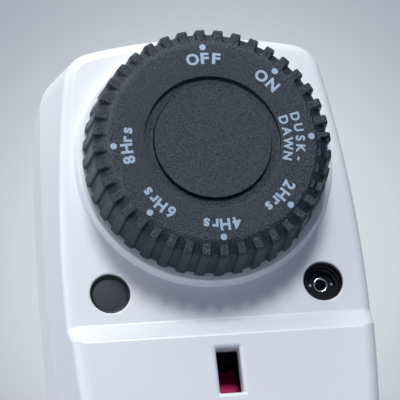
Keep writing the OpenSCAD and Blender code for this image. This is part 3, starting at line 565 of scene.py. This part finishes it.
rear_round = [REAR_FILLET * (1 - math.cos(math.radians(a))) for a in range(90, -1, -10)]
rear = mirrored_skin([flat_ring(drop(inset, REAR_FILLET), rear_lean(REAR_FILLET) + inset)
                      for inset in rear_round]
                     + [seam_ring(-1, 0, LIP), seam_ring(-1, LIP), seam_ring(-1, SEAM),
                        flat_ring(REAR_D - LIP, SEAM)])
hollow = mirrored_skin([flat_ring(BACK_T, WALL + INNER_LEAN + INNER_BEVEL),
                        flat_ring(BACK_T + INNER_BEVEL, WALL + INNER_LEAN),
                        flat_ring(REAR_D + PAST, WALL)])
screw_x, screw_y = level(0)[4]
screw_places = [(sx * screw_x, LIFT + sy * screw_y) for sx in (-1, 1) for sy in (-1, 1)]
for x, y in screw_places:
    tower = [(0, BACK_T - PAST), (TOWER_R, BACK_T - PAST), (TOWER_R, TOWER_TOP), (0, TOWER_TOP)]
    hollow = cut(hollow, turned(tower, x, y, 64))
rear = cut(rear, hollow)
for x, y in screw_places:
    screw_well = [(0, -PAST), (WELL_R + WELL_EDGE, -PAST), (WELL_R + WELL_EDGE, 0),
                  (WELL_R, WELL_EDGE), (WELL_R, WELL_TOP), (SCREW_HOLE_R, WELL_TOP),
                  (SCREW_HOLE_R, TOWER_TOP + PAST), (0, TOWER_TOP + PAST)]
    rear = cut(rear, turned(screw_well, x, y, 64))
pin_slots = [(0, EARTH_Y, 4.1, 8.1), (PIN_X, POLE_Y, 6.45, 4.1), (-PIN_X, POLE_Y, 6.45, 4.1)]
for x, y, w, h in pin_slots:
    rear = cut(rear, block(x, y, w, h, -PAST, BACK_T + PAST))
make_piece("rear_casing_moulding", rear, white, "casing", ["rear_casing"])

# %% [markdown]
# ## The dial's knob
# The knob's face is a little crowned: from a crest near its outer edge it falls gently
# inwards to a shallow ring channel, and outwards to the chamfer. Below the chamfer forty
# ribs run down a flared skirt. A rib could be modelled alone and repeated round the knob,
# but it would leave forty seams in the chamfer. So the knob is turned from one profile and
# then knurled. The profile has two versions of its outer part, point for point: one
# through the groove between two ribs and one over a rib. Each point is a radius and a
# depth below the crest. The channel's floor ends in a thin gap round the cap.

# %% Knob profiles
KNOB_TOP, RIBS = 45.3, 40
FACE = KNOB_TOP - 0.05
CHANNEL_R, CAP_R, CHANNEL_T, GAP = 13.15, 11.25, 0.8, 0.14
CREST_R, RIM_R, FACE_R, CROWN_IN, CROWN_OUT = 14.8, 19.4, 20.3, 0.08, 0.22


def crown(radius):
    """How far the face lies below its crest at a radius."""
    if radius < CREST_R:
        return CROWN_IN * ((CREST_R - radius) / (CREST_R - CHANNEL_R)) ** 2
    return CROWN_OUT * ((radius - CREST_R) / (FACE_R - CREST_R)) ** 2


groove = [(RIM_R, crown(RIM_R)), (19.75, 0.215), (20.05, 0.34), (20.3, 0.496), (20.6, 0.685),
          (21.0, 0.97), (21.4, 1.26), (21.8, 1.53), (22.15, 1.8), (22.4, 2.15), (22.55, 2.6),
          (22.75, 4.0), (23.0, 7.0), (23.3, 9.75)]
ridge = [(RIM_R, crown(RIM_R)), (19.75, 0.215), (20.05, 0.34), (20.28, 0.46), (20.5, 0.515),
         (20.85, 0.525), (21.6, 0.53), (22.3, 0.55), (22.66, 0.61), (22.9, 0.8), (23.02, 1.15),
         (23.12, 2.4), (23.4, 6.0), (23.88, 9.75)]
inside = [(21.6, 9.85), (20.9, 5.0), (6.0, 5.0), (6.0, 8.4), (3.1, 8.4), (3.1, 3.5), (0.0, 3.5)]
floor_t, gap_r = CROWN_IN + CHANNEL_T, CAP_R + GAP
channel = [(0.0, floor_t + 0.7), (gap_r, floor_t + 0.7), (gap_r, floor_t + 0.04),
           (gap_r + 0.04, floor_t), (CHANNEL_R - 0.06, floor_t), (CHANNEL_R, floor_t - 0.06),
           (CHANNEL_R, CROWN_IN + 0.06), (CHANNEL_R + 0.04, CROWN_IN + 0.01)]
channel += [(r, crown(r)) for r in steps_between(CHANNEL_R, RIM_R, 20)]
print("profile points:", len(channel) + len(groove) + len(inside))

# %% [markdown]
# ## Knurling
# A vertex's radius and height tell which point of the groove's profile it came from. It
# moves towards the same point of the ridge's profile, and a wave round the knob says how
# far. A sine wave would make soft waves of the ribs, so this one stays flat on a rib and
# in a groove and has a short smooth flank between them.

# %% Knob
RIB_HALF, FLANK = 0.29, 0.055


def rib_share(angle):
    """1 on a rib's top and 0 in a groove, by the share of a rib's pitch from its middle."""
    pitch = math.tau / RIBS
    off = abs((angle - math.pi / 2 + pitch / 2) % pitch - pitch / 2) / pitch
    t = min(1, max(0, (RIB_HALF - off) / FLANK))
    return t * t * (3 - 2 * t)


knob = turned([(r, FACE - d) for r, d in channel + groove + inside], steps=20 * RIBS)
ridge_of = {(round(r, 3), round(FACE - d, 3)): over for (r, d), over in zip(groove, ridge)}
for v in knob.verts:
    radius = math.hypot(v.co.x, v.co.y)
    rib = ridge_of.get((round(radius, 3), round(v.co.z, 3)))
    if rib:
        share = rib_share(math.atan2(v.co.y, v.co.x))
        target = radius + (rib[0] - radius) * share
        v.co = Vector((v.co.x * target / radius, v.co.y * target / radius,
                       v.co.z + (FACE - rib[1] - v.co.z) * share))
bmesh.ops.translate(knob, verts=knob.verts, vec=(0, DIAL_Y, 0))
make_piece("dial_knob_moulding", knob, charcoal, "dial", ["dial_knob"], 50)

# %% [markdown]
# ## The dial's cap
# A round cap fills the middle of the knob, level with its face. A cylinder with a bevel
# would do. A profile that is turned gives the same piece in one step, with an edge as
# small as the real one.

# %% Cap in the middle
CAP_EDGE, CAP_T = 0.12, 1.6
CAP_TOP = FACE - CROWN_IN
cap_edge = arc((CAP_R - CAP_EDGE, CAP_TOP - CAP_EDGE), CAP_EDGE, 0, 90, 5)
cap = turned([(0, CAP_TOP - CAP_T), (CAP_R, CAP_TOP - CAP_T)] + [(p.x, p.y) for p in cap_edge]
             + [(0, CAP_TOP)], y=DIAL_Y, steps=160)
make_piece("dial_cap_moulding", cap, charcoal, "dial", ["dial_cap"])

# %% [markdown]
# ## Marks on the dial
# The settings are printed on the knob's face: OFF at the top, then clockwise ON, dusk to
# dawn, and two to eight hours, with a dot at each place. A text object can follow a curve,
# but its letters keep their own spacing. The printed ones are spaced by eye, so each
# letter is a text object of its own, made into a mesh and turned to its place.

# %% One letter
ink = finish("dial ink", (0.33, 0.43, 0.54), 0.55, drift=0.04, grain=3000, depth=0.00001)
CAP_HEIGHT, SMALL_HEIGHT, BOLD, WIDE_F = 2.45, 1.9, 0.036, 1.2
FONT_CAP, STRIPS = 0.729, 12


def letter_shape(sign):
    """A flat letter as high as the typeface has it, cut across so that it can bend."""
    curve = bpy.data.curves.new("sign", "FONT")
    curve.body, curve.size, curve.extrude = sign, 1.0, 0.0
    curve.align_x, curve.resolution_u, curve.offset = "CENTER", 6, BOLD
    source = bpy.data.objects.new("sign", curve)
    bpy.context.scene.collection.objects.link(source)
    shape = source.evaluated_get(bpy.context.evaluated_depsgraph_get())
    bm = bmesh.new()
    bm.from_mesh(shape.to_mesh())
    shape.to_mesh_clear()
    bpy.data.objects.remove(source)
    bpy.data.curves.remove(curve)
    for strip in range(1, STRIPS):
        bmesh.ops.bisect_plane(bm, geom=bm.verts[:] + bm.edges[:] + bm.faces[:], dist=0.0001,
                               plane_co=(0, strip / STRIPS * FONT_CAP, 0), plane_no=(0, 1, 0))
    return bm


def letter(sign, height, radius, clockwise):
    """A flat letter of a height, at its place on a circle round the origin."""
    bm = letter_shape(sign)
    xs = [v.co.x for v in bm.verts]
    middle = Matrix.Translation((-(min(xs) + max(xs)) / 2, -FONT_CAP / 2, 0))
    scale = height / (FONT_CAP + 2 * BOLD)
    width = scale * WIDE_F if sign == "F" else scale
    turn = Matrix.Rotation(math.radians(-clockwise), 4, "Z")
    place = turn @ Matrix.Translation((0, radius, 0)) @ Matrix.Diagonal((width, scale, 1, 1))
    bmesh.ops.transform(bm, matrix=place @ middle, verts=bm.verts)
    return bm


print("ink:", ink.name)

# %% [markdown]
# ## Laying the ink
# The ink could be painted on with a picture, which would blur in close-up. As a mesh of
# its own it stays sharp. All the letters and dots are laid flat round the origin first,
# and then draped over the crowned face, a hair's breadth proud of it.

# %% Letters and dots
INK_T, DOT_RING, DOT_R, PLACES = 0.02, 19.1, 0.62, 7


def add(bm, other):
    """Lays another drawing into this one, without joining their skins."""
    mesh = bpy.data.meshes.new("drawing")
    other.to_mesh(mesh)
    other.free()
    bm.from_mesh(mesh)
    bpy.data.meshes.remove(mesh)


# word, radius, clockwise angle of each letter in degrees, height
SETTINGS = [("OFF", 16.85, [352.4, 0.6, 8.2], CAP_HEIGHT),
            ("ON", 16.7, [40.4, 50.0], CAP_HEIGHT),
            ("DUSK-", 16.95, [76.0, 83.7, 91.1, 98.3, 105.4], SMALL_HEIGHT),
            ("DAWN", 14.57, [76.0, 85.2, 95.1, 104.9], SMALL_HEIGHT),
            ("2Hrs", 16.75, [125.2, 133.0, 139.7, 145.5], CAP_HEIGHT),
            ("4Hrs", 16.75, [170.4, 178.2, 184.8, 190.6], CAP_HEIGHT),
            ("6Hrs", 16.75, [214.9, 222.8, 229.5, 235.4], CAP_HEIGHT),
            ("8Hrs", 16.75, [259.9, 267.8, 274.5, 280.4], CAP_HEIGHT)]
marks = bmesh.new()
for word, radius, turns, height in SETTINGS:
    for sign, clockwise in zip(word, turns):
        add(marks, letter(sign, height, radius, clockwise))
for place in range(PLACES):
    turn = math.radians(45 * place)
    spot = Vector((DOT_RING * math.sin(turn), DOT_RING * math.cos(turn), 0))
    bmesh.ops.create_circle(marks, cap_ends=True, segments=32, radius=DOT_R,
                            matrix=Matrix.Translation(spot))
for v in marks.verts:
    v.co.z = FACE - crown(math.hypot(v.co.x, v.co.y)) + INK_T
bmesh.ops.translate(marks, verts=marks.verts, vec=(0, DIAL_Y, 0))
make_piece("dial_marks", marks, ink, "dial")

# %% [markdown]
# ## The sensor window
# On the left a smoked disc covers the photocell. It lies a little below the deck and
# ends in a soft rim. Real smoked plastic lets some light through, but so little comes back
# out of the dark casing that an almost black, slightly glossy finish looks the same.

# %% Window
smoked = finish("smoked window", (0.024, 0.028, 0.032), 0.34, drift=0.05, grain=900, depth=0.00001)
SUNK, FIT_R, FLANGE_R, FLANGE_TOP = DECK - 1.2, PORT_R - 0.06, 4.8, DECK - 2.3
window = turned([(0, DECK - 3.2), (FLANGE_R, DECK - 3.2), (FLANGE_R, FLANGE_TOP),
                 (FIT_R, FLANGE_TOP), (FIT_R, DECK - 0.42), (FIT_R - 0.06, DECK - 0.36),
                 (FIT_R - 0.16, DECK - 0.4), (3.28, SUNK + 0.1), (3.2, SUNK), (0, SUNK + 0.05)],
                -PORT_X, PORT_Y)
make_piece("sensor_window_disc", window, smoked, "casing", ["sensor_window"])

# %% [markdown]
# ## The jack
# On the right a stepped black well holds the metal sleeve of a small jack, with two
# contacts beside it. Both are round, so both are turned. The steps are real faces rather
# than a bump, because their edges catch the light one by one.

# %% Jack
black = finish("black plastic", (0.006, 0.006, 0.007), 0.24, drift=0.1)
nickel = finish("nickel plate", (0.72, 0.72, 0.73), 0.25, drift=0.04, metal=1.0, spread=0.08)
FACE_Z, WELL_LOW, SOCKET_R, SOCKET_LOW = DECK - 3, 22.7, 1.6, 24.7
SLEEVE_IN, SLEEVE_OUT, SLEEVE_LOW = 1.02, 1.54, 25.0
well = turned([(0, WELL_LOW), (4.7, WELL_LOW), (4.7, FLANGE_TOP), (FIT_R, FLANGE_TOP),
               (FIT_R, DECK - 0.45), (FIT_R - 0.1, DECK - 0.35), (3.5, DECK - 0.45),
               (3.5, FACE_Z + 1.1), (3.4, FACE_Z + 1), (2.75, FACE_Z + 1), (2.65, FACE_Z + 0.9),
               (2.65, FACE_Z), (SOCKET_R, FACE_Z), (SOCKET_R, SOCKET_LOW), (0, SOCKET_LOW)],
              PORT_X, PORT_Y)
make_piece("jack_housing_well", well, black, "casing", ["jack_housing"])
lip_r = (SLEEVE_OUT - SLEEVE_IN) / 2
sleeve_lip = arc((SLEEVE_IN + lip_r, FACE_Z - 0.1), lip_r, 0, 180, 10)
sleeve = turned([(SLEEVE_IN, SLEEVE_LOW), (SLEEVE_OUT, SLEEVE_LOW)]
                + [(p.x, p.y) for p in sleeve_lip] + [(SLEEVE_IN, SLEEVE_LOW)],
                PORT_X, PORT_Y, 64)
make_piece("jack_sleeve_ring", sleeve, nickel, "casing", ["jack_sleeve"])

# %% [markdown]
# ## Finishes of the remaining pieces
# The pins, the screws and everything inside keep the frame's own shapes, since they are
# right already. Each gets its finish and a fine bevel, because no real edge is perfectly
# sharp. A Bevel modifier adds it without touching the frame's mesh.

# %% More plastics and metals
brass = finish("brass", (0.80, 0.62, 0.30), 0.28, drift=0.05, metal=1.0, spread=0.07)
steel = finish("steel", (0.56, 0.57, 0.58), 0.32, drift=0.04, metal=1.0, spread=0.07)
dark = finish("dark plastic", (0.05, 0.055, 0.06), 0.5)
crimson = finish("crimson shutter", (0.42, 0.003, 0.09), 0.6, drift=0.08)
green = finish("board varnish", (0.02, 0.14, 0.05), 0.35, drift=0.12)
blue = finish("blue coating", (0.03, 0.10, 0.35), 0.35)
yellow = finish("yellow film case", (0.62, 0.42, 0.06), 0.4)
can = finish("capacitor sleeve", (0.03, 0.03, 0.06), 0.35)
ivory = finish("ivory plastic", (0.66, 0.62, 0.52), 0.4)
sensor_face = finish("photocell face", (0.45, 0.20, 0.10), 0.4, drift=0.2)
print("finishes in all:", len(bpy.data.materials))

# %% Bevelled pieces of the frame
BEVEL_ANGLE = math.radians(40)
# each node's finish, and the width of its bevel in millimetres
FINISH_OF = {
    "light_sensor": (sensor_face, 0.05), "jack_contacts": (nickel, 0.05),
    "control_board": (green, 0.1), "board_screws": (steel, 0.1), "casing_screws": (steel, 0.15),
    "switch_body": (black, 0.2), "switch_cover": (steel, 0.1), "switch_terminals": (brass, 0.05),
    "detent_spring": (steel, 0.05), "relay": (blue, 0.4), "mains_capacitor": (yellow, 0.4),
    "smoothing_capacitor": (can, 0.3), "varistor": (blue, 0.2), "timer_chip": (black, 0.2),
    "earth_pin": (brass, 0.25), "line_pin": (brass, 0.25), "neutral_pin": (brass, 0.25),
    "line_pin_sleeve": (black, 0.1), "neutral_pin_sleeve": (black, 0.1),
    "pin_retainer": (dark, 0.2), "contact_carrier": (dark, 0.2),
    "earth_contact": (brass, 0.05), "line_contact": (brass, 0.05), "neutral_contact": (brass, 0.05),
    "line_link": (brass, 0.08), "switched_link": (brass, 0.08), "neutral_link": (brass, 0.08),
    "shutter": (crimson, 0.12), "shutter_spring": (steel, 0), "dial_screw": (steel, 0.1),
    "dial_shaft": (ivory, 0.12), "wiper_contact": (brass, 0.05)}
for name, (material, width) in FINISH_OF.items():
    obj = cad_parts[name]
    obj.data.materials.clear()
    obj.data.materials.append(material)
    if width:
        edge = obj.modifiers.new("fine edge", "BEVEL")
        edge.width, edge.segments, edge.limit_method = width / 1000, 2, "ANGLE"
        edge.angle_limit = BEVEL_ANGLE
        edge.use_clamp_overlap = True
print("finished nodes:", len(FINISH_OF))

# %% [markdown]
# ## The camera
# A long lens stands a little below and to the left of the switch and looks up at it, so
# the object seems to lean. A camera could be turned towards an empty with a constraint.
# Here its place is given in numbers from the dial's centre on the deck, along the object's
# own right, up and out directions, so that the view is the same each time.

# %% Camera
az, el, roll = (math.radians(a) for a in (-10.458, -17.577, -6.318))
distance, shift_x, shift_y = 580.51, 0.688, 7.357
back = Vector((math.sin(az) * math.cos(el), math.sin(el), math.cos(az) * math.cos(el)))
right = Vector((0, 1, 0)).cross(back).normalized()
above = back.cross(right)
side_on = math.cos(roll) * right + math.sin(roll) * above
up_on = -math.sin(roll) * right + math.cos(roll) * above
eye = distance * back - shift_x * side_on - shift_y * up_on


def stood(v):
    """A direction or a place from the dial's centre, turned upright."""
    return Vector((v.x, -v.z, v.y))


camera = bpy.data.objects.new("camera", bpy.data.cameras.new("camera"))
bpy.context.scene.collection.objects.link(camera)
camera.data.lens, camera.data.sensor_width = 270, 36
camera.data.clip_start, camera.data.clip_end = 0.05, 20
axes = Matrix((stood(side_on), stood(up_on), stood(back))).transposed()
camera.matrix_world = (Matrix.Translation((stood(eye) + Vector((0, -DECK, DIAL_Y))) / 1000)
                       @ axes.to_4x4())
bpy.context.scene.camera = camera
print("camera at", [round(c, 3) for c in camera.location])

# %% [markdown]
# ## The studio's lights
# The key light stands in front of the switch and 38 degrees up. One very large light would
# be softer, but would wash the dial's shadow away. This one is fairly small, so the shadow
# on the deck is short and keeps its shape. Larger lights at the upper left and above shine
# on the edges of the moulding and between the dial's ribs, and a wide one at the side
# lifts the left wall.

# %% Lights
centre = Vector((0, -0.03, 0.035))


def soft_light(name, azimuth, elevation, reach_m, size, power, colour):
    """A round area light that faces the switch, placed by two angles and a distance."""
    lamp = bpy.data.lights.new(name, "AREA")
    lamp.shape, lamp.size, lamp.energy, lamp.color = "DISK", size, power, colour
    obj = bpy.data.objects.new(name, lamp)
    bpy.context.scene.collection.objects.link(obj)
    a, e = math.radians(azimuth), math.radians(elevation)
    out = Vector((math.sin(a) * math.cos(e), -math.cos(a) * math.cos(e), math.sin(e)))
    obj.location = centre + out * reach_m
    obj.rotation_euler = out.to_track_quat("Z", "Y").to_euler()


# azimuth and elevation in degrees, distance and size in metres, power in watts, colour
soft_light("key", 1, 38, 0.8, 0.2, 4.75, (0.92, 0.95, 1.0))
soft_light("upper left", -45, 54, 0.8, 0.5, 1.95, (0.98, 0.94, 0.86))
soft_light("top", -35, 80, 0.8, 0.45, 1.5, (1.0, 0.96, 0.92))
soft_light("side fill", -88, 5, 0.9, 1.0, 4.4, (0.88, 0.89, 1.0))
print("lights:", [lamp.name for lamp in bpy.data.lights])

# %% [markdown]
# ## The floor
# A pale floor lies well below the switch. It sends a little light up from below, as a
# table would, and needs no more than one plain face.

# %% Floor
FLOOR_Z, FLOOR_HALF, FLOOR_GREY = -0.5, 3, (0.62, 0.64, 0.70, 1)
ground = bmesh.new()
bmesh.ops.create_grid(ground, x_segments=1, y_segments=1, size=FLOOR_HALF,
                      matrix=Matrix.Translation((0, 0, FLOOR_Z)))
mesh = bpy.data.meshes.new("floor")
ground.to_mesh(mesh)
ground.free()
floor = bpy.data.objects.new("floor", mesh)
bpy.context.scene.collection.objects.link(floor)
pale = bpy.data.materials.new("pale floor")
pale.use_nodes = True
paint = pale.node_tree.nodes["Principled BSDF"]
paint.inputs["Base Color"].default_value = FLOOR_GREY
paint.inputs["Roughness"].default_value = 0.8
mesh.materials.append(pale)
print("floor at", FLOOR_Z, "m")

# %% [markdown]
# ## The air
# The world is what glossy plastic reflects. One even grey would be simpler, but it would
# leave either the walls too dark or the dial too pale. So the air is bright behind the
# switch, for its side walls to reflect, and dim in front of it, where the dial's face
# looks. The y axis runs from front to back, and its value picks the shade.

# %% World that lights the switch
FRONT_AIR, BACK_AIR = (0.05, 0.085, 0.14), (0.55, 0.59, 0.62)
world = bpy.data.worlds.new("studio air")
bpy.context.scene.world = world
world.use_nodes = True
air = world.node_tree
ambient = air.nodes["Background"]
direction = add_node(air, "ShaderNodeTexCoord")
axis = add_node(air, "ShaderNodeSeparateXYZ")
air.links.new(direction.outputs["Generated"], axis.inputs["Vector"])
air.links.new(mixed(air, between(air, axis.outputs["Y"], 0, 1), FRONT_AIR, BACK_AIR),
              ambient.inputs["Color"])
print("air:", FRONT_AIR, "in front,", BACK_AIR, "behind")

# %% [markdown]
# ## The backdrop
# Behind the switch a studio's paper backdrop is lit pale in the middle and falls off to grey; this
# pool of light is painted into the backdrop's colours.
# A lit plane would do, but the switch would reflect it too. A ramp over the distance from
# one fixed direction gives the same soft fall-off, and only the camera sees it:
# everything else goes on seeing the air.

# %% Backdrop and choice between the two
GLOW_DROP = Vector((0, 0, -0.022))
looking = (stood(-back) + GLOW_DROP).normalized()
apart = add_node(air, "ShaderNodeVectorMath", operation="DISTANCE")
apart.inputs[1].default_value = looking
air.links.new(direction.outputs["Generated"], apart.inputs[0])
shades = add_node(air, "ShaderNodeValToRGB")
# painted light: the backdrop's colours darken away from its pale, lit middle
stops = [(0.0, (0.80, 0.83, 0.90)), (0.062, (0.63, 0.66, 0.73)), (0.083, (0.51, 0.54, 0.61)),
         (0.105, (0.40, 0.43, 0.50))]
while len(shades.color_ramp.elements) < len(stops):
    shades.color_ramp.elements.new(0.5)
for stop, (place, colour) in zip(shades.color_ramp.elements, stops):
    stop.position, stop.color = place, (*colour, 1)
air.links.new(apart.outputs["Value"], shades.inputs["Fac"])
backdrop = add_node(air, "ShaderNodeBackground")
air.links.new(shades.outputs["Color"], backdrop.inputs["Color"])
seen = add_node(air, "ShaderNodeLightPath")
choose = add_node(air, "ShaderNodeMixShader")
air.links.new(seen.outputs["Is Camera Ray"], choose.inputs[0])
air.links.new(ambient.outputs[0], choose.inputs[1])
air.links.new(backdrop.outputs[0], choose.inputs[2])
air.links.new(choose.outputs[0], air.nodes["World Output"].inputs["Surface"])

bpy.context.scene.view_settings.view_transform = "Standard"
print("backdrop shades:", len(shades.color_ramp.elements))
